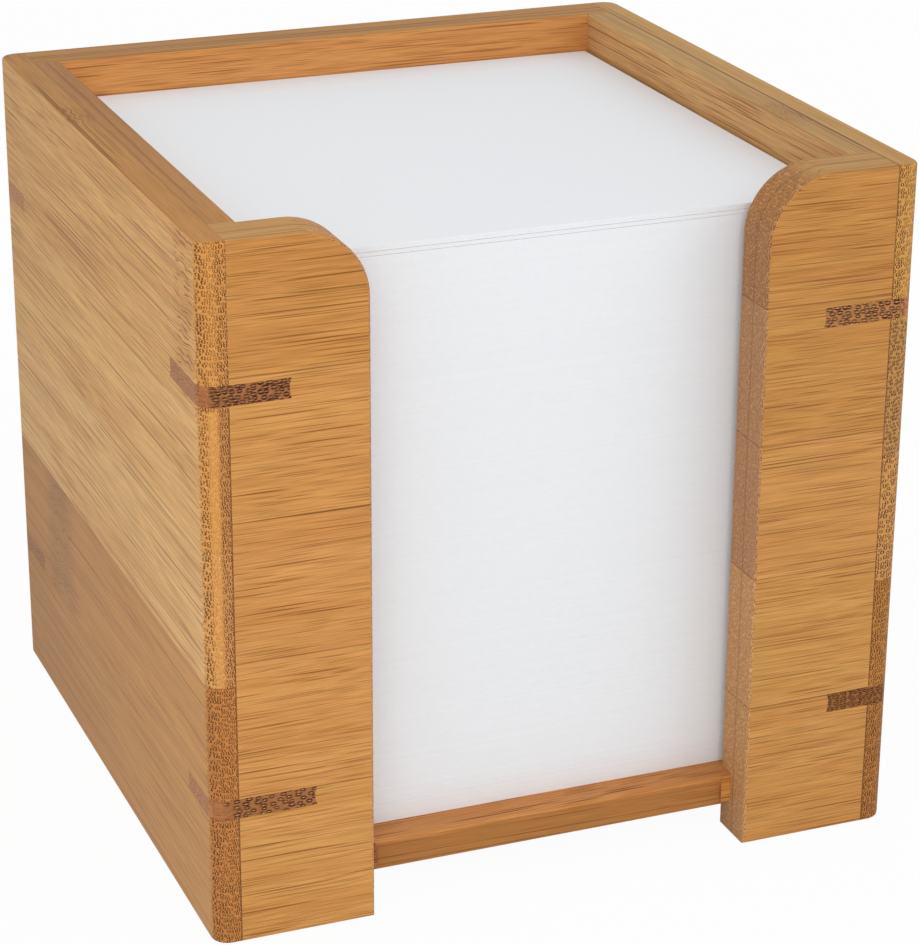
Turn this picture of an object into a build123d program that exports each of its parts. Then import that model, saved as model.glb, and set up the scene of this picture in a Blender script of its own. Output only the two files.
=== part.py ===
# Cube-shaped bamboo holder for loose square notes: a box open at the top, with a finger
# opening between two front posts. X runs across the front, Y from the front to the back
# and Z up. The origin is on the surface it stands on, under the middle of the box.

from build123d import *
import math
import os

# ---------------------------------------------------------------- driving sizes, mm

# notes, and the play that they have in the well
note_size = 90.0            # square
note_left_gap = 1.4
note_right_gap = 0.6
note_front_gap = 1.7        # to the posts
note_back_gap = 0.3
block_height = 87.7         # the stack
loose_height = 0.65         # thin packet that lies loose on the stack
top_height = 0.85           # packet above it, the next notes to be taken

# box
box_height = 105.0
outer_ply = 4.0             # outer layer of every wall
inner_ply = 4.0             # inner layer of every wall
corner_round = 2.6          # upright outer corners
edge_ease = 0.5             # sanded edges of the outer faces
rim_ease = 0.3              # sanded edges towards the well

# front posts
post_face = 24.2            # from the side of the box to the inner end of a post
post_round = 10.0           # rounded top inner corner of a post

# strips that the boards are glued up from; each panel is cut to size across its first and
# last strip, so that these are narrower or wider than the rest
post_bottom_strip = 22.9
post_strip = 21.0
side_bottom_strip = 20.0
side_strip = 20.5
back_bottom_strip = 17.5
back_strip = 21.0
board_strip_count = 5       # in each side, post and back board, from the bottom up
base_strip_count = 5        # in the base board, from the front to the back

# base board
base_lift = 4.7             # its underside above the table
base_thickness = 4.9
groove_depth = 3.5          # how far it enters the walls
tongue_step = 0.4           # what its tongue is thinner by, below and in front
nose_gap = 1.3              # from the ends of its front nose to the posts
nose_corner = 1.0           # upright corners of the nose
nose_ease = 0.8             # long edges of the nose

# keys let in across the corners
key_thickness = 3.0
key_margin = 20.0           # from the table to the lower keys, from the rim to the upper
key_reach = 13.5            # mean reach of a key from its corner
key_dish = 0.2              # hollow along a key's inner edge
# how much further each key reaches along the front or the back than the mean
key_lean = {
    "front_left": (2.1, -0.7),
    "front_right": (-2.5, 1.3),
    "back_left": (-1.2, 0.9),
    "back_right": (0.6, -1.4),
}

# ---------------------------------------------------------------- derived sizes

wall = outer_ply + inner_ply
box_width = note_left_gap + note_size + note_right_gap + 2 * wall
box_depth = note_front_gap + note_size + note_back_gap + 2 * wall
half_width = box_width / 2
half_depth = box_depth / 2
seam_x = half_width - outer_ply         # between the layers of a side
seam_y = half_depth - outer_ply         # between the layers of a post or of the back
well_x = half_width - wall
well_y = half_depth - wall
post_end = half_width - post_face
base_top = base_lift + base_thickness
base_x = well_x + groove_depth
base_y = well_y + groove_depth
nose_x = post_end - nose_gap
clear = 1.0                             # how far a cutter runs past what it cuts

os.makedirs("parts", exist_ok=True)


def save(node, solids):
    """Write one node; its solids stay separate."""
    part = solids[0] if len(solids) == 1 else Compound(children=solids)
    part.label = node
    export_step(part, f"parts/{node}.step")


def block(x_span, y_span, z_span, mode=Mode.ADD):
    """A plain block between three pairs of limits, in the part being built."""
    centre = ((x_span[0] + x_span[1]) / 2, (y_span[0] + y_span[1]) / 2)
    with BuildSketch(Plane.XY.offset(z_span[0])) as outline:
        with Locations(centre):
            Rectangle(x_span[1] - x_span[0], y_span[1] - y_span[0])
    extrude(outline.sketch, amount=z_span[1] - z_span[0], mode=mode)


def strip_heights(bottom_strip, strip):
    """Bottom and top of each strip of an upright board, from its seams."""
    seams = [bottom_strip + strip * i for i in range(board_strip_count - 1)]
    return list(zip([0.0] + seams, seams + [box_height]))


def is_outer(face):
    """Whether a face of the box looks away from the well."""
    middle = face.center()
    reach = max(abs(middle.X) - half_width, abs(middle.Y) - half_depth)
    return reach > -corner_round


def is_well(face):
    """Whether a face of the box lies along the well."""
    middle = face.center()
    off_side = abs(abs(middle.X) - well_x)
    off_back = abs(abs(middle.Y) - well_y)
    return min(off_side, off_back) < rim_ease


def is_corner(edge):
    """Whether an edge stands upright at a corner of the box or of the well."""
    upright = edge.bounding_box().size.Z > box_height / 2
    return upright and abs(edge.center().X) > post_end + clear


# ---------------------------------------------------------------- finished form of the box

# The corners, the rim and the finger opening are shaped once the boards are joined, so
# every strip and every key is cut to this one form.
with BuildPart() as finished_box:
    with BuildSketch():
        RectangleRounded(box_width, box_depth, corner_round)
    extrude(amount=box_height)
    block((-well_x, well_x), (-well_y, well_y), (0, box_height), Mode.SUBTRACT)

    # finger opening, which follows the rounded top corners of the posts
    arc_start = (post_end, box_height - post_round)
    arc_end = (post_end + post_round, box_height)
    bulge = post_round * (1 - math.sqrt(0.5))
    arc_middle = (post_end + bulge, box_height - bulge)
    with BuildSketch(Plane.XZ):
        with BuildLine():
            Polyline((0, -clear), (post_end, -clear), arc_start)
            ThreePointArc(arc_start, arc_middle, arc_end)
            Polyline(
                arc_end,
                (arc_end[0], box_height + clear),
                (0, box_height + clear),
                (0, -clear),
            )
        make_face()
        mirror(about=Plane.YZ)
    extrude(amount=half_depth + clear, mode=Mode.SUBTRACT)

    # edges of the outer faces, but for the upright corners, which are round already
    outer_edges = [
        edge
        for face in finished_box.faces().filter_by(is_outer)
        for edge in face.edges()
        if not is_corner(edge)
    ]
    fillet(outer_edges, edge_ease)

    # edges of the well: its rim and the posts' inner ends, but not what stands on the table
    rim_edges = [
        edge
        for face in finished_box.faces().filter_by(GeomType.PLANE).filter_by(is_well)
        for edge in face.edges()
        if edge.center().Z > clear and not is_corner(edge)
    ]
    fillet(rim_edges, rim_ease)

# ---------------------------------------------------------------- base board, whole

with BuildPart() as whole_base:
    # the board between the walls, with the nose that shows between the posts
    with BuildSketch(Plane.XY.offset(base_lift)):
        Rectangle(2 * well_x, 2 * well_y)
        with Locations((0, -(base_y + well_y) / 2)):
            nose = Rectangle(2 * nose_x, groove_depth)
        fillet(nose.vertices().sort_by(Axis.Y)[:2], nose_corner)
    extrude(amount=base_thickness)
    # its tongue, in the grooves of the walls and posts
    block(
        (-base_x, base_x),
        (tongue_step - base_y, base_y),
        (base_lift + tongue_step, base_top),
    )
    # eased long edges of the nose, which stop at its ends
    for z, inward in ((base_top, -1), (base_lift, 1)):
        with BuildSketch(Plane.YZ.offset(-nose_x)):
            with Locations((-base_y, z)):
                Rectangle(2 * nose_ease, 2 * nose_ease)
            with Locations((nose_ease - base_y, z + inward * nose_ease)):
                Circle(nose_ease, mode=Mode.SUBTRACT)
                Rectangle(
                    2 * nose_ease,
                    2 * nose_ease,
                    align=(Align.MIN, Align.CENTER),
                    mode=Mode.SUBTRACT,
                )
                Rectangle(
                    2 * nose_ease,
                    2 * nose_ease,
                    align=(Align.CENTER, Align.MAX if inward < 0 else Align.MIN),
                    mode=Mode.SUBTRACT,
                )
        extrude(amount=2 * nose_x, mode=Mode.SUBTRACT)

# ---------------------------------------------------------------- corner keys

corners = {
    "front_left": (-1, -1),
    "front_right": (1, -1),
    "back_left": (-1, 1),
    "back_right": (1, 1),
}
key_levels = {
    "lower": key_margin,
    "upper": box_height - key_margin - key_thickness,
}
keys = {}
for corner, (side_x, side_y) in corners.items():
    for lean, (level, z) in zip(key_lean[corner], key_levels.items()):
        tip = (side_x * half_width, side_y * half_depth)
        end_a = (tip[0] - side_x * (key_reach + lean), tip[1])
        end_b = (tip[0], tip[1] - side_y * (key_reach - lean))
        along = Vector(end_b[0] - end_a[0], end_b[1] - end_a[1], 0).normalized()
        inward = Vector(tip[0] - end_a[0], tip[1] - end_a[1], 0)
        inward = (inward - along * inward.dot(along)).normalized()
        middle = Vector(end_a[0], end_a[1], z + key_thickness / 2)
        with BuildPart() as key:
            with BuildSketch(Plane.XY.offset(z)):
                with BuildLine():
                    Polyline(tip, end_a, end_b, tip)
                make_face()
            extrude(amount=key_thickness)
            with BuildSketch(Plane(origin=middle, x_dir=inward, z_dir=along)):
                with BuildLine():
                    below = (0, -key_thickness / 2)
                    above = (0, key_thickness / 2)
                    ThreePointArc(below, (key_dish, 0), above)
                    Polyline(above, (-clear, above[1]), (-clear, below[1]), below)
                make_face()
            extrude(amount=3 * key_reach, both=True, mode=Mode.SUBTRACT)
            add(finished_box.part, mode=Mode.INTERSECT)
        keys[f"{corner}_{level}_key"] = key.part

# ---------------------------------------------------------------- strips of the walls


def lamella(x_span, y_span, z_span):
    """One strip of one layer, cut to the finished form, the groove and the key slots."""
    with BuildPart() as strip:
        block(x_span, y_span, z_span)
        add(finished_box.part, mode=Mode.INTERSECT)
        add(whole_base.part, mode=Mode.SUBTRACT)
        for cut in keys.values():
            add(cut, mode=Mode.SUBTRACT)
    return strip.part


def mirrored(span, side):
    """The same pair of limits on the other side of the middle plane."""
    return (min(span[0] * side, span[1] * side), max(span[0] * side, span[1] * side))


side_heights = strip_heights(side_bottom_strip, side_strip)
post_heights = strip_heights(post_bottom_strip, post_strip)
back_heights = strip_heights(back_bottom_strip, back_strip)

# Side boards run the full depth in their outer layer; the inner layer stops at the posts
# and at the back board, which leaves the rabbets that these stand in.
for name, side in (("left", -1), ("right", 1)):
    for i, heights in enumerate(side_heights, start=1):
        outer = lamella(
            mirrored((seam_x, half_width), side), (-half_depth, half_depth), heights
        )
        inner = lamella(mirrored((well_x, seam_x), side), (-well_y, well_y), heights)
        save(f"{name}_side_strip_{i}", [outer, inner])
    for i, heights in enumerate(post_heights, start=1):
        post_span = mirrored((post_end, seam_x), side)
        front = lamella(post_span, (-half_depth, -seam_y), heights)
        rear = lamella(post_span, (-seam_y, -well_y), heights)
        save(f"{name}_post_strip_{i}", [front, rear])

for i, heights in enumerate(back_heights, start=1):
    outer = lamella((-seam_x, seam_x), (seam_y, half_depth), heights)
    inner = lamella((-seam_x, seam_x), (well_y, seam_y), heights)
    save(f"back_strip_{i}", [outer, inner])

for node, key_part in keys.items():
    save(node, [key_part])

# ---------------------------------------------------------------- strips of the base board

base_strip_depth = 2 * base_y / base_strip_count
for i in range(base_strip_count):
    front_edge = -base_y + i * base_strip_depth
    with BuildPart() as base_strip:
        block(
            (-base_x, base_x),
            (front_edge, front_edge + base_strip_depth),
            (base_lift, base_top),
        )
        add(whole_base.part, mode=Mode.INTERSECT)
    save(f"base_strip_{i + 1}", [base_strip.part])

# ---------------------------------------------------------------- notes

note_x = well_x - note_right_gap - note_size / 2
note_y = well_y - note_back_gap - note_size / 2
layer_bottom = base_top
for node, layer_height in (
    ("note_block", block_height),
    ("loose_notes", loose_height),
    ("top_notes", top_height),
):
    with BuildPart() as notes:
        with BuildSketch(Plane.XY.offset(layer_bottom)):
            with Locations((note_x, note_y)):
                Rectangle(note_size, note_size)
        extrude(amount=layer_height)
    save(node, [notes.part])
    layer_bottom += layer_height
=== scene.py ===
"""Looks of a cube-shaped bamboo holder for loose square notes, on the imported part's frame.

The boards keep their packed form and get bamboo that is worked out in depth: every strip is
cut from a stem whose vessel bundles run along it, so they show as streaks along the grain and
as dots at the ends. The notes are laid sheet by sheet.
"""

import math

import bpy
from mathutils import Euler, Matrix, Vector


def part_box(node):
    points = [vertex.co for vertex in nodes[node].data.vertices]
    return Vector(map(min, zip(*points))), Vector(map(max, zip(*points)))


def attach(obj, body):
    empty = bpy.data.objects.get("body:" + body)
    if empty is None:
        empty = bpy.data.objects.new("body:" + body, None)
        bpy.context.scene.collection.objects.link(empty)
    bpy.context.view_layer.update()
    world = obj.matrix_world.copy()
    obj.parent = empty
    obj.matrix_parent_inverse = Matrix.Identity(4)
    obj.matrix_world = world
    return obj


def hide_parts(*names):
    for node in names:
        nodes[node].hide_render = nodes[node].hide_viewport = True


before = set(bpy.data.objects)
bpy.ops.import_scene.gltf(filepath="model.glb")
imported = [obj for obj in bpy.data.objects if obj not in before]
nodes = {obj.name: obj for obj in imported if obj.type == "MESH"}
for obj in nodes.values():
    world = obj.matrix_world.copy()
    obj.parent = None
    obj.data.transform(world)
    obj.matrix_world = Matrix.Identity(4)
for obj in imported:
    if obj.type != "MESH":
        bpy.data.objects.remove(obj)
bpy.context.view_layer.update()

MM = 0.001

LEFT, RIGHT = Vector((-1, 0, 0)), Vector((1, 0, 0))
FORWARDS, BACKWARDS = Vector((0, -1, 0)), Vector((0, 1, 0))
UP = Vector((0, 0, 1))
WHITE = (1.0, 1.0, 1.0, 1.0)


def tint(red, green, blue):
    """A colour as the eye sees it, 0 to 255, as the linear one that shaders take."""
    linear = []
    for value in (red, green, blue):
        share = value / 255
        linear.append(share / 12.92 if share <= 0.04045 else ((share + 0.055) / 1.055) ** 2.4)
    return (*linear, 1.0)


# ---------------------------------------------------------------- node trees in short

NUMBER, COUNT = "NodeSocketFloat", "NodeSocketInt"
POINT, COLOUR = "NodeSocketVector", "NodeSocketColor"


class Tree:
    """A node tree, written from its inputs to its output."""

    def __init__(self, tree):
        self.tree = tree

    def feed(self, socket, value):
        """Link a value into a socket, or set it there."""
        if isinstance(value, bpy.types.NodeSocket):
            self.tree.links.new(value, socket)
        else:
            socket.default_value = value

    def add(self, kind, values=None, **settings):
        node = self.tree.nodes.new(kind)
        for name, value in settings.items():
            setattr(node, name, value)
        for key, value in (values or {}).items():
            self.feed(node.inputs[key], value)
        return node

    def math(self, operation, *values):
        node = self.add("ShaderNodeMath", operation=operation)
        for socket, value in zip(node.inputs, values):
            self.feed(socket, value)
        return node.outputs[0]

    def product(self, first, *others):
        for other in others:
            first = self.math("MULTIPLY", first, other)
        return first

    def vector(self, operation, *values, out=0):
        node = self.add("ShaderNodeVectorMath", operation=operation)
        for socket, value in zip(node.inputs, values):
            self.feed(socket, value)
        return node.outputs[out]

    def dot(self, a, b):
        return self.vector("DOT_PRODUCT", a, b, out="Value")

    def xyz(self, x=0.0, y=0.0, z=0.0):
        return self.add("ShaderNodeCombineXYZ", {"X": x, "Y": y, "Z": z}).outputs[0]

    def parts(self, vector):
        return self.add("ShaderNodeSeparateXYZ", {0: vector}).outputs

    def scaled(self, vector, factor):
        made = self.vector("SCALE", vector)
        self.feed(made.node.inputs["Scale"], factor)
        return made

    def between(self, share, least, most):
        """Least at 0 and most at 1, in a straight line."""
        return self.math("MULTIPLY_ADD", share, most - least, least)

    def step(self, value, low, high):
        """0 at low, 1 at high and smooth between; low may be above high."""
        node = self.add("ShaderNodeMapRange", interpolation_type="SMOOTHSTEP")
        for key, given in (("Value", value), ("From Min", low), ("From Max", high)):
            self.feed(node.inputs[key], given)
        return node.outputs[0]

    def mix(self, share, a, b, blend="MIX"):
        node = self.add("ShaderNodeMix", data_type="RGBA", blend_type=blend)
        for index, value in ((0, share), (6, a), (7, b)):
            self.feed(node.inputs[index], value)
        return node.outputs[2]

    def times(self, share, colour, factor):
        """A colour, multiplied by another one where share is 1."""
        return self.mix(share, colour, factor, "MULTIPLY")

    def noise(self, place, detail=2.0, out="Fac"):
        """Noise of one unit's grain; its value is 0.5 on the whole."""
        node = self.add(
            "ShaderNodeTexNoise", {"Vector": place, "Scale": 1.0, "Detail": detail}
        )
        return node.outputs[out]

    def astray(self, place, detail):
        """A noise vector whose parts go from -0.5 to 0.5."""
        return self.vector("SUBTRACT", self.noise(place, detail, "Color"), (0.5, 0.5, 0.5))


def new_group(name, kind, inputs, outputs):
    """An empty node group with named sockets: its tree, its inputs and its last node."""
    tree = bpy.data.node_groups.new(name, kind)
    for label, (socket, value) in inputs.items():
        made = tree.interface.new_socket(label, in_out="INPUT", socket_type=socket)
        if value is not None:
            made.default_value = value
    for label, socket in outputs.items():
        tree.interface.new_socket(label, in_out="OUTPUT", socket_type=socket)
    given = tree.nodes.new("NodeGroupInput").outputs
    return Tree(tree), given, tree.nodes.new("NodeGroupOutput")


# ---------------------------------------------------------------- bamboo, in depth

FAR = 900.0                             # a place that no strip reaches, mm
SEAM = 50.0                             # between a wall's layers, from the box's middle, mm
# at an end, X goes along Depth and Y along Rise
CAPS_IN_DEPTH = (1.0, 0.0, 0.0)
CAPS_IN_RISE = (0.0, 1.0, 0.0)

BAMBOO_INPUTS = {
    # the strip
    "Fibre": (POINT, BACKWARDS),        # along the strip
    "Depth": (POINT, LEFT),             # through the board, outwards
    "Rise": (POINT, UP),                # across the strip
    "Seam": (NUMBER, SEAM),             # depth of the seam between the layers, mm
    "Low": (NUMBER, -FAR),              # its edges along Rise, mm
    "High": (NUMBER, FAR),
    "Edge Line": (NUMBER, 0.45),        # how dark the glue is there
    "Seam Line": (NUMBER, 0.8),         # and between the layers
    "Seed": (NUMBER, 0.0),
    # long grain
    "Slant": (NUMBER, 0.012),           # how fast the fibres rise to the surface
    "Streak Gap": (NUMBER, 0.5),        # between streaks, mm
    "Streaks": (NUMBER, 0.75),          # how dark they are
    "Hair": (NUMBER, 0.32),             # how much the finest grain shows
    "Ground": (COLOUR, WHITE),
    "Shade": (COLOUR, WHITE),
    "Streak": (COLOUR, WHITE),
    "Edge": (COLOUR, WHITE),            # by what the narrow faces differ
    "Inner": (COLOUR, WHITE),           # and those of the inner layer once more
    # bundles at an end
    "Spacing": (NUMBER, 0.62),          # between bundles, mm
    "Stretch": (NUMBER, 1.0),           # how much further apart they are along Depth
    "Disorder": (NUMBER, 0.6),
    "Size": (NUMBER, 0.42),             # of a bundle, in spacings
    "Hollow": (NUMBER, 0.5),            # its open middle, in its radius
    "Slit": (POINT, CAPS_IN_DEPTH),     # from one of its dark caps to the other
    "Bundles": (NUMBER, 0.9),           # how dark they are
    "Pale Band": (NUMBER, 0.0),         # how far they fade inside the outer layer
    "End": (COLOUR, WHITE),
    "End Shade": (COLOUR, WHITE),
    "Bundle": (COLOUR, WHITE),
    "Core": (COLOUR, WHITE),
    "Lee": (COLOUR, WHITE),             # by what the end differs that looks along the fibre
    "Lee Fade": (NUMBER, 0.0),          # how far its bundles fade
    # the strip as a whole
    "Tone": (COLOUR, WHITE),            # by what this strip differs from its kind
    "Fade": (NUMBER, 0.0),              # how much it gains by 100 mm along the fibre
    # a knuckle of the stem
    "Face Knuckle": (NUMBER, FAR),      # its place on the outer face, mm
    "Edge Knuckle": (NUMBER, FAR),      # and on the narrow faces
    "Edge Layer": (NUMBER, 1.0),        # of the outer layer, or of the inner one at 0
    "Knuckle Size": (NUMBER, 4.0),      # mm
    "Face Kink": (NUMBER, 1.2),         # how far it bends the fibres, mm
    "Edge Kink": (NUMBER, 1.8),
    "Ripple Gap": (NUMBER, 0.6),        # between the bent fibres that show, mm
    "Ripples": (NUMBER, 1.0),           # how dark they are
    "Knot": (COLOUR, WHITE),            # by what its colour differs
}

# length, width and thickness of what varies in the wood, mm
WANDER = (55, 11, 11)                   # bends of the fibres
KINK = (2.6, 3.0, 3.0)                  # the same at a knuckle
CLOUD = (40, 2.6, 2.6)                  # tone of the ground
HAIR = (7, 0.17, 0.17)                  # the finest grain
FLECK = (9, 0.4, 0.4)                   # tone at an end
RIPPLE_PATCH = (3.0, 1.2, 1.2)          # where ripples show
WANDER_DEEP = 0.5                       # how far the fibres stray through the board, mm
WANDER_WIDE = 0.8                       # and across the strip

# streaks: how thick they are in the wood, mm, and their girth from least to most, in gaps
LONG_STREAKS = dict(thickness=0.3, least=0.12, most=0.26, offset=3.7)
FINE_STREAKS = dict(thickness=0.16, least=0.18, most=0.34, offset=5.9)
FINE_GAP = 0.5                          # between fine streaks, in gaps of the long ones
FINE_DARK = 0.75                        # how dark they are against the long ones

# bundles at an end
ROW = 0.87                              # between their rows, in spacings
ROW_SHIFT = 0.5                         # of each row against the next, in spacings
ROW_OFFSET = 5.3                        # how far a seed moves the rows
BUNDLE_GIRTH = (0.8, 1.2)               # from least to most, in the group's Size
BUNDLE_DARK = (0.75, 1.05)              # in the group's Bundles
CORE_SHARE = 0.8                        # how much a core shows against its caps

# where a thing begins to show, and where it shows in full
END_FACE = (0.15, 0.5)                  # by how far a face looks along the fibre
LEE_FACE = (0.1, 0.5)                   # the same, one way only
EDGE_FACE = (0.6, 0.9)                  # by how far it looks across the strip
KNUCKLE_RIM = (1.0, 0.3)                # by the way from its middle, in its size
STREAK_RIM = (1.15, 0.6)                # in its girth
CAP_RIM = (1.2, 0.9)                    # in a bundle's girth
CORE_RIM = (0.5, 0.15)
CAP_SIDE = (-0.05, 0.4)                 # by the way along the slit
RIPPLE_CREST = (0.2, 1.0)               # by the height of a wave
BAND_START, BAND_END = (1.2, 1.8), (3.2, 2.6)   # by the depth outside the seam, mm
BELOW_BAND = (2.0, 1.3)
SEAM_WIDTH = (0.32, 0.06)               # by the way from the glue, mm
EDGE_WIDTH = (0.16, 0.02)
# the same by the value of a noise
SHADED = (0.3, 0.7)
SMOKED = (0.2, 0.5)
RIPPLED = (0.42, 0.62)
LIGHT_HAIR = (0.25, 0.75)
FLECKED = (0.3, 0.72)
STREAKED = (0.0, 0.9)

GLUE = tint(112, 68, 42)
UNDER_BAND = tint(214, 204, 220)        # tone of the end between the seam and the pale band
OBLIQUE = (1.0, 0.95, 0.7, 1.0)         # by what a slanting cut differs
LAYER_SEED = 7.31                       # sets the outer layer's wood apart from the inner's
RAGGED = (-0.1, 0.1)                    # how far the finest grain moves an edge of glue, mm
ROUGHNESS = (0.45, 0.65)                # from the smoothest grain to the roughest
HAIR_HIGH = 0.5                         # in pores, as the next three are
STREAK_DEEP = 0.5
CAP_DEEP = 0.5
GLUE_DEEP = 1.0


class Point:
    """What is known of the point of a strip that is looked at."""


def grain_place(t, at, grain):
    """A place for noise of the given length, width and thickness."""
    length, width, thickness = grain
    return t.xyz(
        t.math("MULTIPLY", at.along, 1 / length),
        t.math("MULTIPLY_ADD", at.wide, 1 / width, at.seed),
        t.math("MULTIPLY", at.deep, 1 / thickness),
    )


def place_in_strip(t, given):
    """Where a point lies in its strip, and which way its face is cut."""
    here = t.add("ShaderNodeTexCoord")
    place = t.scaled(here.outputs["Object"], 1 / MM)
    looks_along = t.dot(here.outputs["Normal"], given["Fibre"])
    at = Point()
    at.along = t.dot(place, given["Fibre"])
    at.depth = t.math("SUBTRACT", t.dot(place, given["Depth"]), given["Seam"])
    at.across = t.dot(place, given["Rise"])
    at.deep, at.wide = at.depth, at.across
    at.outer = t.math("GREATER_THAN", at.depth, 0.0)
    at.inner = t.math("SUBTRACT", 1.0, at.outer)
    at.seed = t.math("MULTIPLY_ADD", at.outer, LAYER_SEED, given["Seed"])
    at.facing = t.math("ABSOLUTE", looks_along)
    at.endwise = t.step(at.facing, *END_FACE)
    at.lee = t.step(looks_along, *LEE_FACE)
    at.rising = t.math("ABSOLUTE", t.dot(here.outputs["Normal"], given["Rise"]))
    at.edgewise = t.step(at.rising, *EDGE_FACE)
    at.flatwise = t.math("SUBTRACT", 1.0, at.edgewise)
    return at


def near_knuckle(t, given, at, place, side, layer):
    """1 at a knuckle, on one kind of face and in one layer."""
    off = t.math("DIVIDE", t.math("SUBTRACT", at.along, place), given["Knuckle Size"])
    return t.product(t.step(t.math("ABSOLUTE", off), *KNUCKLE_RIM), side, layer)


def bend_fibres(t, given, at):
    """Move a point to where its fibre would lie in a straight stem.

    Fibres rise and wander everywhere, and are kinked at a knuckle.
    """
    edge_layer = t.math("COMPARE", at.outer, given["Edge Layer"], 0.1)
    on_face = near_knuckle(t, given, at, given["Face Knuckle"], at.flatwise, at.outer)
    on_edge = near_knuckle(t, given, at, given["Edge Knuckle"], at.edgewise, edge_layer)
    at.knotty = t.math("MAXIMUM", on_face, on_edge)
    wander = t.parts(t.astray(grain_place(t, at, WANDER), 1.0))
    kink = t.parts(t.astray(grain_place(t, at, KINK), 0.0))
    risen = t.math("MULTIPLY_ADD", at.along, given["Slant"], at.depth)
    deep = t.math("MULTIPLY_ADD", wander[0], WANDER_DEEP, risen)
    wide = t.math("MULTIPLY_ADD", wander[1], WANDER_WIDE, at.across)
    at.deep = t.math("MULTIPLY_ADD", kink[0], t.product(on_edge, given["Edge Kink"]), deep)
    at.wide = t.math("MULTIPLY_ADD", kink[1], t.product(on_face, given["Face Kink"]), wide)


def streaks(t, at, gap, thickness, least, most, offset):
    """Dark streaks where vessels come to the surface; on the narrow faces they are bolder."""
    layers = t.math("DIVIDE", at.deep, t.math("MULTIPLY_ADD", at.edgewise, thickness, thickness))
    vessel = t.add(
        "ShaderNodeTexVoronoi",
        {
            "Vector": t.xyz(
                t.math("MULTIPLY_ADD", at.seed, offset, layers), t.math("DIVIDE", at.wide, gap)
            ),
            "Scale": 1.0,
        },
        voronoi_dimensions="2D",
    )
    chance = t.parts(vessel.outputs["Color"])
    off = t.math("DIVIDE", vessel.outputs["Distance"], t.between(chance[0], least, most))
    return t.product(t.step(off, *STREAK_RIM), t.step(chance[1], *STREAKED))


def ripples(t, given, at):
    """Lines of bent fibres, in patches of a knuckle."""
    straying = t.math("SUBTRACT", at.wide, at.deep)
    level = t.math("MULTIPLY_ADD", straying, at.flatwise, at.deep)
    turns = t.math("MULTIPLY", t.math("DIVIDE", level, given["Ripple Gap"]), 2 * math.pi)
    line = t.step(t.math("SINE", turns), *RIPPLE_CREST)
    patch = t.noise(grain_place(t, at, RIPPLE_PATCH), 1.0)
    return t.product(line, t.step(patch, *RIPPLED), at.knotty, given["Ripples"])


def long_grain(t, given, at):
    """Colour of a face along the fibres, and how far a streak lies on it."""
    cloud = t.noise(grain_place(t, at, CLOUD))
    ground = t.mix(t.step(cloud, *SHADED), given["Ground"], given["Shade"])
    fine_gap = t.product(given["Streak Gap"], FINE_GAP)
    fine = t.product(streaks(t, at, fine_gap, **FINE_STREAKS), FINE_DARK)
    line = t.math("MAXIMUM", streaks(t, at, given["Streak Gap"], **LONG_STREAKS), fine)
    line = t.math("MAXIMUM", line, ripples(t, given, at))
    colour = t.mix(t.product(line, given["Streaks"]), ground, given["Streak"])
    colour = t.times(t.product(at.knotty, t.step(cloud, *SMOKED)), colour, given["Knot"])
    lighter = t.math("SUBTRACT", t.step(at.hair, *LIGHT_HAIR), 0.5)
    colour = t.scaled(colour, t.math("MULTIPLY_ADD", lighter, given["Hair"], 1.0))
    colour = t.times(at.edgewise, colour, given["Edge"])
    colour = t.times(t.product(at.inner, at.edgewise), colour, given["Inner"])
    return colour, line


def bundle_caps(t, given, at):
    """The nearest bundle at an end: its two dark caps, its light core and its own chances."""
    up_rows = t.math("DIVIDE", at.wide, t.product(given["Spacing"], ROW))
    in_row = t.math("DIVIDE", at.deep, t.product(given["Spacing"], given["Stretch"]))
    section = t.xyz(
        t.math("MULTIPLY_ADD", up_rows, ROW_SHIFT, in_row),
        t.math("MULTIPLY_ADD", at.seed, ROW_OFFSET, up_rows),
    )
    cell = t.add(
        "ShaderNodeTexVoronoi",
        {"Vector": section, "Scale": 1.0, "Randomness": given["Disorder"]},
        voronoi_dimensions="2D",
    )
    lot = t.parts(cell.outputs["Color"])
    girth = t.product(given["Size"], t.between(lot[0], *BUNDLE_GIRTH))
    # back from the shifted rows to upright ones
    off = t.parts(t.vector("SUBTRACT", section, cell.outputs["Position"]))
    sideways = t.product(t.math("MULTIPLY_ADD", off[1], -ROW_SHIFT, off[0]), given["Stretch"])
    from_core = t.scaled(
        t.xyz(sideways, t.product(off[1], ROW)), t.math("DIVIDE", 1.0, girth)
    )
    radius = t.vector("LENGTH", from_core, out="Value")
    to_cap = t.math("ABSOLUTE", t.dot(from_core, given["Slit"]))
    # the middle is open up to 0.4 of the hollow; 0.01 keeps the two apart where there is none
    ring = t.step(
        radius, t.product(given["Hollow"], 0.4), t.math("ADD", given["Hollow"], 0.01)
    )
    caps = t.product(t.step(radius, *CAP_RIM), t.step(to_cap, *CAP_SIDE), ring)
    return caps, t.step(radius, *CORE_RIM), lot


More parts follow.
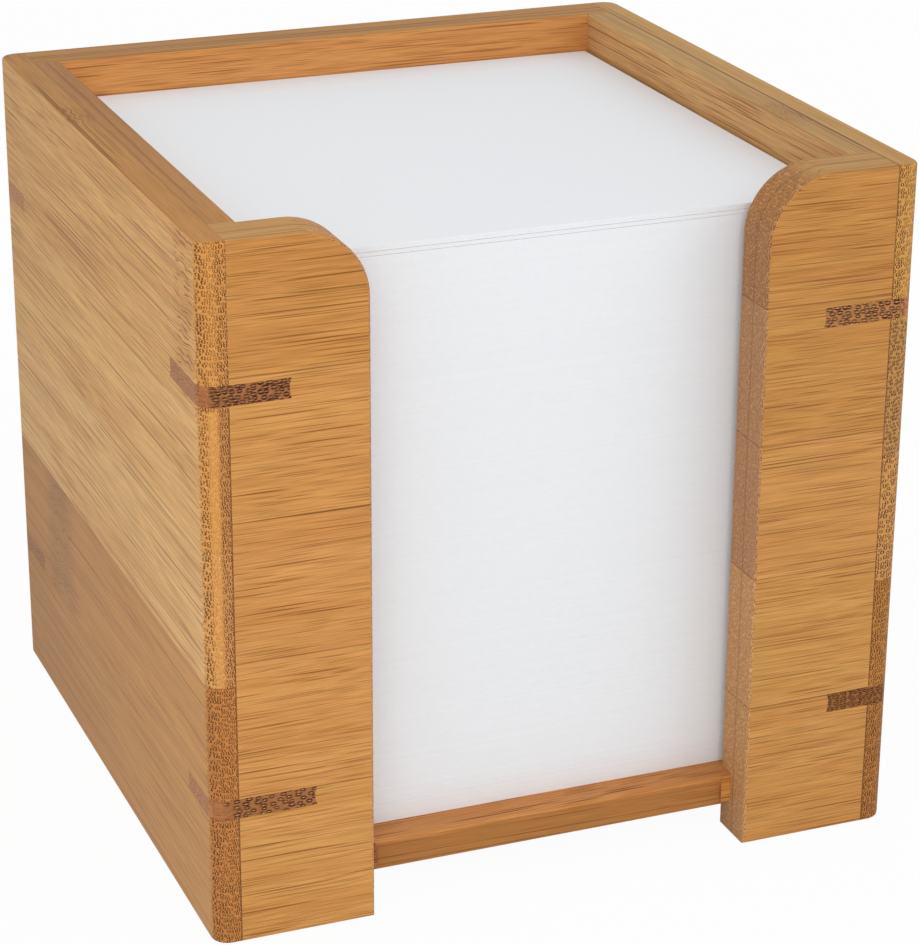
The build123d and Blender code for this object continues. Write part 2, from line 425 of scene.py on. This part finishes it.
def end_grain(t, given, at):
    """Colour of a face across the fibres, and how far a bundle's cap lies on it."""
    caps, core, lot = bundle_caps(t, given, at)
    band = t.product(t.step(at.depth, *BAND_START), t.step(at.depth, *BAND_END))
    off_band = t.math("MULTIPLY_ADD", t.product(band, given["Pale Band"]), -1.0, 1.0)
    off_lee = t.math("SUBTRACT", 1.0, t.product(at.lee, given["Lee Fade"]))
    dark = t.product(given["Bundles"], t.between(lot[1], *BUNDLE_DARK), off_band, off_lee)
    fleck = t.noise(grain_place(t, at, FLECK))
    colour = t.mix(t.step(fleck, *FLECKED), given["End"], given["End Shade"])
    under = t.product(t.step(at.depth, *BELOW_BAND), given["Pale Band"], at.outer)
    colour = t.times(under, colour, UNDER_BAND)
    colour = t.mix(t.product(core, dark, CORE_SHARE), colour, given["Core"])
    colour = t.mix(t.product(caps, dark), colour, given["Bundle"])
    return t.times(at.lee, colour, given["Lee"]), caps


def glue_lines(t, given, at):
    """How far glue shows: between the layers and along the strip's edges."""
    ragged = t.between(at.hair, *RAGGED)
    off_edge = t.math(
        "MINIMUM",
        t.math("SUBTRACT", at.across, given["Low"]),
        t.math("SUBTRACT", given["High"], at.across),
    )
    seam = t.step(t.math("ADD", t.math("ABSOLUTE", at.depth), ragged), *SEAM_WIDTH)
    edge = t.step(t.math("ADD", off_edge, ragged), *EDGE_WIDTH)
    return t.math(
        "MAXIMUM", t.product(seam, given["Seam Line"]), t.product(edge, given["Edge Line"])
    )


def bamboo_group():
    """Colour, roughness and height of bamboo at any point of a strip."""
    t, given, last = new_group(
        "bamboo",
        "ShaderNodeTree",
        BAMBOO_INPUTS,
        {"Color": COLOUR, "Roughness": NUMBER, "Height": NUMBER},
    )
    at = place_in_strip(t, given)
    bend_fibres(t, given, at)
    at.hair = t.noise(grain_place(t, at, HAIR))
    grain, line = long_grain(t, given, at)
    end, caps = end_grain(t, given, at)
    glue = glue_lines(t, given, at)

    colour = t.mix(at.endwise, grain, end)
    # 1 where a face slants halfway between an end and an edge
    slanting = t.product(at.facing, at.rising)
    slanting = t.product(slanting, slanting, 4.0)
    colour = t.times(slanting, colour, OBLIQUE)
    colour = t.times(1.0, colour, given["Tone"])
    by_mm = t.math("DIVIDE", given["Fade"], 100.0)
    colour = t.scaled(colour, t.math("MULTIPLY_ADD", at.along, by_mm, 1.0))

    height = t.math("MULTIPLY_ADD", line, -STREAK_DEEP, t.product(at.hair, HAIR_HIGH))
    height = t.math("MULTIPLY_ADD", t.product(caps, at.endwise), -CAP_DEEP, height)
    t.feed(last.inputs["Color"], t.mix(glue, colour, GLUE))
    t.feed(last.inputs["Roughness"], t.between(at.hair, *ROUGHNESS))
    t.feed(last.inputs["Height"], t.math("MULTIPLY_ADD", glue, -GLUE_DEEP, height))
    return t.tree


BAMBOO = bamboo_group()
PORE = 0.08 * MM                        # the bump's unit of height
BUMP = 0.25                             # and its strength
LACQUER_IOR = 1.48
LACQUER_SHINE = 0.16


def bamboo(name, **values):
    """Lacquered bamboo; the values are the group's own inputs."""
    material = bpy.data.materials.new(name)
    material.use_nodes = True
    t = Tree(material.node_tree)
    shader = material.node_tree.nodes["Principled BSDF"]
    wood = t.add("ShaderNodeGroup", node_tree=BAMBOO)
    for label, value in values.items():
        t.feed(wood.inputs[label.replace("_", " ").title()], value)
    bump = t.add(
        "ShaderNodeBump", {"Strength": BUMP, "Distance": PORE, "Height": wood.outputs["Height"]}
    )
    t.feed(shader.inputs["Base Color"], wood.outputs["Color"])
    t.feed(shader.inputs["Roughness"], wood.outputs["Roughness"])
    t.feed(shader.inputs["Normal"], bump.outputs[0])
    shader.inputs["IOR"].default_value = LACQUER_IOR
    shader.inputs["Specular IOR Level"].default_value = LACQUER_SHINE
    return material


# ---------------------------------------------------------------- kinds of bamboo

# the side boards: pale above and brown below
PALE = dict(
    ground=tint(216, 176, 118),
    shade=tint(206, 162, 105),
    streak=tint(140, 88, 44),
    streaks=0.9,
    edge=(0.68, 0.55, 0.45, 1.0),
    inner=(0.9, 0.92, 1.0, 1.0),
    end=tint(214, 160, 90),
    end_shade=tint(196, 138, 74),
    bundle=tint(74, 40, 22),
    core=tint(232, 186, 122),
)
BROWN = dict(
    ground=tint(191, 146, 96),
    shade=tint(184, 139, 91),
    streak=tint(120, 76, 44),
    streaks=0.65,
    hair=0.16,
    end=tint(184, 128, 74),
    end_shade=tint(170, 112, 62),
    bundle=tint(72, 38, 22),
    core=tint(214, 164, 104),
)
# the posts, the back and the base
ORANGE = dict(
    ground=tint(220, 160, 90),
    shade=tint(213, 150, 82),
    streak=tint(138, 82, 38),
    edge=(0.9, 1.06, 1.2, 1.0),
    end=tint(222, 168, 118),
    end_shade=tint(206, 150, 104),
    bundle=tint(136, 86, 58),
    core=tint(232, 182, 132),
)
# the keys
DARK = dict(
    ground=tint(182, 118, 72),
    shade=tint(170, 104, 62),
    streak=tint(112, 62, 38),
    streak_gap=0.55,
    end=tint(168, 112, 65),
    end_shade=tint(152, 96, 54),
    bundle=tint(62, 28, 17),
    bundles=1.0,
    core=tint(196, 146, 91),
)
# what the boards add to their kind of bamboo
SIDE = dict(slant=0.005, edge_line=0.25)
POST = ORANGE | dict(
    slant=0.009, streaks=0.8, spacing=0.5, bundles=0.7, edge_line=0.6, seam_line=0.35
)
BACK = ORANGE | dict(slant=0.01)
BASE = ORANGE | dict(
    streak_gap=0.6, streaks=1.0, edge=(1.1, 1.1, 0.85, 1.0), tone=(0.84, 0.76, 0.82, 1.0)
)


def ends(look, red, green, blue):
    """A look's end grain, lighter or darker by so much."""
    return {
        key: tuple(a * b for a, b in zip(look[key], (red, green, blue, 1.0)))
        for key in ("end", "end_shade", "bundle", "core")
    }


# what a strip's colour is multiplied by; strips count from the bottom up
TONES = {
    "left_side_strip": [
        (1.06, 0.98, 0.82),
        (1.08, 0.98, 0.8),
        (1.1, 1.05, 1.03),
        (1.08, 1.0, 0.9),
        (1.04, 0.93, 0.8),
    ],
    "right_side_strip": [
        (0.99, 0.92, 0.67),
        (1.08, 1.05, 0.75),
        (0.95, 0.92, 0.95),
        (0.78, 0.78, 0.82),
        (0.92, 0.82, 0.78),
    ],
    "left_post_strip": [
        (0.91, 0.92, 0.9),
        (0.92, 0.9, 0.89),
        (0.9, 0.86, 0.86),
        (0.9, 0.88, 0.84),
        (0.84, 0.79, 0.7),
    ],
    "right_post_strip": [
        (0.82, 0.82, 0.8),
        (0.83, 0.86, 0.83),
        (0.83, 0.82, 0.81),
        (0.77, 0.76, 0.7),
        (0.76, 0.72, 0.64),
    ],
    "back_strip": [(0.88, 0.81, 0.84)] * 5,
}
# how much a strip gains by 100 mm towards the back
FADES = {"left": (-0.3, -0.3, -0.2, -0.2, -0.2), "right": (0.0,) * 5}
# bundles at the ends of the side boards
BUNDLES = {
    "left": [
        dict(spacing=0.62, size=0.38),
        dict(spacing=0.6, size=0.38),
        dict(spacing=0.66, size=0.38, pale_band=0.7),
        dict(spacing=0.64, size=0.36, pale_band=0.8),
        dict(spacing=0.64, size=0.38, pale_band=0.35),
    ],
    "right": [
        dict(spacing=0.7, size=0.4),
        dict(spacing=0.7, size=0.4),
        dict(spacing=0.85, size=0.36),
        dict(spacing=0.66, size=0.32, hollow=0.0),
        dict(spacing=0.7, size=0.38, pale_band=0.2),
    ],
}
# strips whose narrow faces or ends differ from their kind
CUTS = {
    "left_side_strip_5": dict(
        edge=(0.68, 0.58, 0.39, 1.0), inner=(0.87, 0.84, 0.94, 1.0), seam_line=0.3
    ),
    "right_side_strip_5": dict(edge=(0.835, 0.855, 0.66, 1.0), **ends(PALE, 1.11, 1.25, 1.1)),
    "right_post_strip_1": ends(ORANGE, 1.2, 1.26, 1.15),
    "right_post_strip_2": ends(ORANGE, 1.21, 1.2, 1.12),
    "right_post_strip_4": ends(ORANGE, 1.06, 1.08, 1.14),
    "right_post_strip_5": dict(bundle=tint(108, 62, 36), bundles=0.75),
    "back_strip_5": dict(edge=(0.7, 0.76, 0.62, 1.0)),
}
# where the stem had its knuckles
SMOKY = (0.83, 0.87, 0.97, 1.0)
WARM = (0.94, 0.9, 0.87, 1.0)
KNUCKLES = {
    "left_side_strip_2": dict(
        face_knuckle=28.0, knuckle_size=11.0, face_kink=2.5, ripples=0.3, knot=SMOKY
    ),
    "left_side_strip_5": dict(
        face_knuckle=-47.5, edge_knuckle=14.0, knuckle_size=6.0, ripple_gap=0.9, knot=WARM
    ),
    "right_side_strip_5": dict(
        edge_knuckle=-22.0, edge_layer=0.0, knuckle_size=8.0, edge_kink=2.2, knot=WARM
    ),
}
# bundles of the keys; on some, the end in the side of the box is the paler one
PALE_SIDE = dict(lee=(1.42, 1.55, 1.92, 1.0), lee_fade=0.6)
KEYS = {
    "front_left_upper_key": dict(spacing=0.8, size=0.46, hollow=0.0, **PALE_SIDE),
    "front_left_lower_key": dict(spacing=0.74, size=0.42, stretch=1.35, **PALE_SIDE),
    "front_right_upper_key": dict(
        spacing=0.78, size=0.45, hollow=0.3, tone=(1.19, 1.3, 1.34, 1.0)
    ),
    "front_right_lower_key": dict(
        spacing=0.6, size=0.4, hollow=0.2, tone=(0.82, 0.8, 0.6, 1.0)
    ),
    "back_left_upper_key": dict(spacing=0.78, lee=(1.4, 1.6, 2.1, 1.0), lee_fade=0.7),
    "back_left_lower_key": dict(spacing=0.78, bundles=0.5, tone=(1.08, 1.28, 1.5, 1.0)),
    "back_right_upper_key": dict(spacing=0.8, stretch=1.2, hollow=0.2),
    "back_right_lower_key": dict(spacing=0.7, stretch=1.2, hollow=0.3),
}

# ---------------------------------------------------------------- boards, strip by strip

STRIPS = 5                              # in every board
BROWN_STRIPS = 2                        # at the bottom of a side board; the rest is pale
MARGIN = 9.0                            # mm past a board's own edges, which have no glue
ONE_LAYER = 50.0                        # mm above the base board, for the seam that it lacks


def dress(node, look, **values):
    """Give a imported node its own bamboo, in its own material slots."""
    material = bamboo(node, **look, **values)
    slots = nodes[node].material_slots
    for slot in slots:
        slot.material = material
    if not slots:
        nodes[node].data.materials.append(material)


def own_look(board, number):
    """What sets one strip of a wall apart: its edges, its tone and what the tables add."""
    node = f"{board}_{number}"
    low, high = (corner.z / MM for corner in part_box(node))
    return {
        "low": low if number > 1 else low - MARGIN,
        "high": high if number < STRIPS else high + MARGIN,
        "tone": (*TONES[board][number - 1], 1.0),
        **KNUCKLES.get(node, {}),
        **CUTS.get(node, {}),
    }


def dress_side(side, outwards, seed):
    board = f"{side}_side_strip"
    for number in range(1, STRIPS + 1):
        kind = BROWN if number <= BROWN_STRIPS else PALE
        dress(
            f"{board}_{number}",
            kind | SIDE | BUNDLES[side][number - 1] | own_look(board, number),
            fibre=BACKWARDS,
            depth=outwards,
            rise=UP,
            fade=FADES[side][number - 1],
            seed=number * 3.7 + seed,
        )


def dress_post(side, seed):
    board = f"{side}_post_strip"
    for number in range(1, STRIPS + 1):
        dress(
            f"{board}_{number}",
            POST | own_look(board, number),
            fibre=RIGHT,
            depth=FORWARDS,
            rise=UP,
            seed=number * 5.1 + seed,
        )


def dress_back(seed):
    for number in range(1, STRIPS + 1):
        dress(
            f"back_strip_{number}",
            BACK | own_look("back_strip", number),
            fibre=RIGHT,
            depth=BACKWARDS,
            rise=UP,
            seed=number * 4.3 + seed,
        )


def dress_base(seed):
    """Strips of the base board lie flat, side by side from front to back."""
    for number in range(1, STRIPS + 1):
        node = f"base_strip_{number}"
        low, high = (corner.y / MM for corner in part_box(node))
        dress(
            node,
            BASE,
            fibre=RIGHT,
            depth=UP,
            rise=BACKWARDS,
            seam=ONE_LAYER,
            low=low,
            high=high,
            seed=number * 2.9 + seed,
        )


def dress_keys(corner, x, y):
    """The keys of one corner, whose fibres run across it from face to face."""
    for number, level in enumerate(("lower", "upper")):
        node = f"{corner}_{level}_key"
        low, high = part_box(node)
        reach = high - low
        fibre = Vector((reach.x * x, -reach.y * y, 0)).normalized()
        dress(
            node,
            DARK | KEYS[node],
            fibre=fibre,
            depth=fibre.cross(UP),
            rise=UP,
            seam=FAR,
            slant=0.0,
            slit=CAPS_IN_RISE,
            seed=number * 3.3 + x * 5 + y * 11,
        )


# seeds set the wood of one board apart from that of the next
dress_side("left", LEFT, seed=0)
dress_side("right", RIGHT, seed=50)
dress_post("left", seed=20)
dress_post("right", seed=70)
dress_back(seed=33)
dress_base(seed=90)
dress_keys("front_left", -1, -1)
dress_keys("front_right", 1, -1)
dress_keys("back_left", -1, 1)
dress_keys("back_right", 1, 1)

# ---------------------------------------------------------------- notes, sheet by sheet

SHEET = 0.1 * MM
SOLID = 0.97                            # share of a sheet's pitch that is paper
AIR = 0.05 * MM                         # under a packet that lies loose
STRAY = 0.02 * MM                       # how far a sheet lies out of line
DRIFT = 0.1 * MM                        # and how far the stack does

SHEETS_INPUTS = {
    "Size": (POINT, (0.09, 0.09, SHEET)),
    "Bottom": (POINT, (0.0, 0.0, 0.0)),     # middle of the lowest sheet
    "Count": (COUNT, 10),
    "Pitch": (NUMBER, SHEET),
    "Pressed": (COUNT, 10),                 # sheets below the gap
    "Gap": (NUMBER, AIR),
    "Stray": (NUMBER, STRAY),
    "Drift": (NUMBER, DRIFT),
    "Seed": (COUNT, 1),
    "Paper": ("NodeSocketMaterial", None),
}


def sheets_group():
    """Loose square sheets laid in a stack, each a little out of line."""
    g, given, last = new_group(
        "loose sheets", "GeometryNodeTree", SHEETS_INPUTS, {"Geometry": "NodeSocketGeometry"}
    )
    line = g.add(
        "GeometryNodeMeshLine",
        {
            "Count": given["Count"],
            "Start Location": given["Bottom"],
            "Offset": g.xyz(0.0, 0.0, given["Pitch"]),
        },
    )
    stray = g.add(
        "FunctionNodeRandomValue",
        {"Min": (-1.0, -1.0, 0.0), "Max": (1.0, 1.0, 0.0), "Seed": given["Seed"]},
        data_type="FLOAT_VECTOR",
    )
    place = g.add("GeometryNodeInputPosition").outputs[0]
    level = g.vector("MULTIPLY", g.astray(place, 2.0), (1.0, 1.0, 0.0))
    moved = g.vector(
        "ADD", g.scaled(stray.outputs[0], given["Stray"]), g.scaled(level, given["Drift"])
    )
    number = g.add("GeometryNodeInputIndex").outputs[0]
    loose = g.math("GREATER_THAN", number, g.math("SUBTRACT", given["Pressed"], 0.5))
    raised = g.xyz(0.0, 0.0, g.product(loose, given["Gap"]))
    settled = g.add(
        "GeometryNodeSetPosition",
        {"Geometry": line.outputs[0], "Offset": g.vector("ADD", moved, raised)},
    )
    sheet = g.add("GeometryNodeMeshCube", {"Size": given["Size"]})
    laid = g.add(
        "GeometryNodeInstanceOnPoints",
        {"Points": settled.outputs[0], "Instance": sheet.outputs[0]},
    )
    solid = g.add("GeometryNodeRealizeInstances", {"Geometry": laid.outputs[0]})
    papered = g.add(
        "GeometryNodeSetMaterial", {"Geometry": solid.outputs[0], "Material": given["Paper"]}
    )
    g.feed(last.inputs["Geometry"], papered.outputs[0])
    return g.tree


PAPER_ROUGHNESS = 0.85
PAPER_SHINE = 0.25
# grains by the metre
FUZZ = (900.0, 900.0, 900.0)
LAYERS = (12.0, 12.0, 2600.0)           # of the tone that differs from sheet to sheet


def paper_material():
    """Uncoated white paper: a fine fuzz, and a tone that differs from sheet to sheet."""
    material = bpy.data.materials.new("note_paper")
    material.use_nodes = True
    t = Tree(material.node_tree)
    shader = material.node_tree.nodes["Principled BSDF"]
    here = t.add("ShaderNodeTexCoord").outputs["Object"]
    fuzz = t.noise(t.vector("MULTIPLY", here, FUZZ), 3.0)
    layers = t.noise(t.vector("MULTIPLY", here, LAYERS))
    tone = t.product(t.math("ADD", fuzz, layers), 0.5)
    t.feed(shader.inputs["Base Color"], t.mix(tone, tint(235, 238, 241), tint(242, 244, 247)))
    shader.inputs["Roughness"].default_value = PAPER_ROUGHNESS
    shader.inputs["Specular IOR Level"].default_value = PAPER_SHINE
    return material


SHEETS = sheets_group()
PAPER = paper_material()


def sheets_between(low, high):
    """How many sheets fit between two corners, beside one gap of air."""
    return round((high.z - low.z - AIR) / SHEET)


def lay_sheets(name, low, high, pressed, seed):
    """Sheets from one corner of the frame to another, as a plain mesh.

    The first so many lie pressed together; a gap of air parts them from the rest.
    """
    count = sheets_between(low, high)
    pitch = (high.z - low.z - AIR) / count
    middle = (low + high) / 2
    values = {
        "Size": (high.x - low.x - 2 * STRAY, high.y - low.y - 2 * STRAY, pitch * SOLID),
        "Bottom": (middle.x, middle.y, low.z + pitch / 2),
        "Count": count,
        "Pitch": pitch,
        "Pressed": pressed,
        "Gap": AIR,
        "Stray": STRAY,
        "Drift": DRIFT,
        "Seed": seed,
        "Paper": PAPER,
    }
    carrier = bpy.data.objects.new(name + "_carrier", bpy.data.meshes.new(name))
    bpy.context.scene.collection.objects.link(carrier)
    stack = carrier.modifiers.new("sheets", "NODES")
    stack.node_group = SHEETS
    for socket in SHEETS.interface.items_tree:
        if socket.in_out == "INPUT":
            stack[socket.identifier] = values[socket.name]
    bpy.context.view_layer.update()
    laid = carrier.evaluated_get(bpy.context.evaluated_depsgraph_get())
    mesh = bpy.data.meshes.new_from_object(laid)
    bpy.data.objects.remove(carrier)
    piece = bpy.data.objects.new(name, mesh)
    bpy.context.scene.collection.objects.link(piece)
    return piece


note_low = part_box("note_block")[0]
loose_low, loose_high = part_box("loose_notes")
top_low, top_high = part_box("top_notes")

below_gap = sheets_between(note_low, loose_high) - sheets_between(loose_low, loose_high)
stack = lay_sheets("note_sheets", note_low, loose_high, pressed=below_gap, seed=3)
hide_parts("note_block", "loose_notes")
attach(stack, "note_stack")

packet = lay_sheets("top_sheets", top_low, top_high, pressed=0, seed=5)
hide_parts("top_notes")
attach(packet, "top_packet")

# ---------------------------------------------------------------- floor, light and camera

FLOOR_REACH = 3.0
FLOOR_GREY = 0.8                        # of the floor as the object sees it
FLOOR_GLOW = 0.96                       # how white the camera sees it; the rest is its shadow
AMBIENT = 0.75                          # strength of the white sky on the object
LAMP_SIZE = 0.9
LAMPS = {
    "key": ((-0.35, -1.0, 0.75), 4),    # place and power
    "fill": ((0.9, -0.7, 0.5), 2),
}
LAMPS_LOOK_AT = Vector((0, 0, 0.05))
CAMERA_PLACE = (-0.16153, -0.41676, 0.22476)
CAMERA_TURN = (68.0993, -0.2637, -21.6263)      # degrees
CAMERA_LENS = 115.54
SENSOR = 36


def seen(t):
    """1 for what the camera sees, itself, mirrored or through glass."""
    path = t.add("ShaderNodeLightPath").outputs
    direct = t.math("MAXIMUM", path["Is Camera Ray"], path["Is Glossy Ray"])
    return t.math("MAXIMUM", direct, path["Is Transmission Ray"])


def stage_floor():
    mesh = bpy.data.meshes.new("floor")
    corners = ((-1, -1), (1, -1), (1, 1), (-1, 1))
    mesh.from_pydata(
        [(x * FLOOR_REACH, y * FLOOR_REACH, 0) for x, y in corners], [], [(0, 1, 2, 3)]
    )
    floor = bpy.data.objects.new("floor", mesh)
    bpy.context.scene.collection.objects.link(floor)
    material = bpy.data.materials.new("floor")
    material.use_nodes = True
    t = Tree(material.node_tree)
    material.node_tree.nodes.clear()
    grey = (FLOOR_GREY, FLOOR_GREY, FLOOR_GREY, 1.0)
    matt = t.add("ShaderNodeBsdfDiffuse", {"Color": grey})
    glow = t.add("ShaderNodeEmission", {"Color": WHITE, "Strength": 1.0})
    mixed = t.add(
        "ShaderNodeMixShader",
        {0: t.product(seen(t), FLOOR_GLOW), 1: matt.outputs[0], 2: glow.outputs[0]},
    )
    t.add("ShaderNodeOutputMaterial", {"Surface": mixed.outputs[0]})
    mesh.materials.append(material)


def stage_world():
    world = bpy.data.worlds.new("studio")
    bpy.context.scene.world = world
    world.use_nodes = True
    t = Tree(world.node_tree)
    world.node_tree.nodes.clear()
    strength = t.math("MULTIPLY_ADD", seen(t), 1.0 - AMBIENT, AMBIENT)
    sky = t.add("ShaderNodeBackground", {"Color": WHITE, "Strength": strength})
    t.add("ShaderNodeOutputWorld", {"Surface": sky.outputs[0]})


def stage_lamp(name, place, power):
    """A soft lamp that looks at the middle of the box."""
    lamp = bpy.data.lights.new(name, "AREA")
    lamp.size = LAMP_SIZE
    lamp.energy = power
    holder = bpy.data.objects.new(name, lamp)
    holder.location = place
    holder.rotation_mode = "QUATERNION"
    holder.rotation_quaternion = (LAMPS_LOOK_AT - Vector(place)).to_track_quat("-Z", "Y")
    bpy.context.scene.collection.objects.link(holder)


def stage_camera():
    data = bpy.data.cameras.new("camera")
    data.sensor_width = SENSOR
    data.lens = CAMERA_LENS
    data.clip_start = 0.01
    camera = bpy.data.objects.new("camera", data)
    camera.location = CAMERA_PLACE
    camera.rotation_euler = Euler([math.radians(angle) for angle in CAMERA_TURN], "XYZ")
    bpy.context.scene.collection.objects.link(camera)
    bpy.context.scene.camera = camera


stage_floor()
stage_world()
for name, (place, power) in LAMPS.items():
    stage_lamp(name, place, power)
stage_camera()
bpy.context.scene.view_settings.view_transform = "Standard"
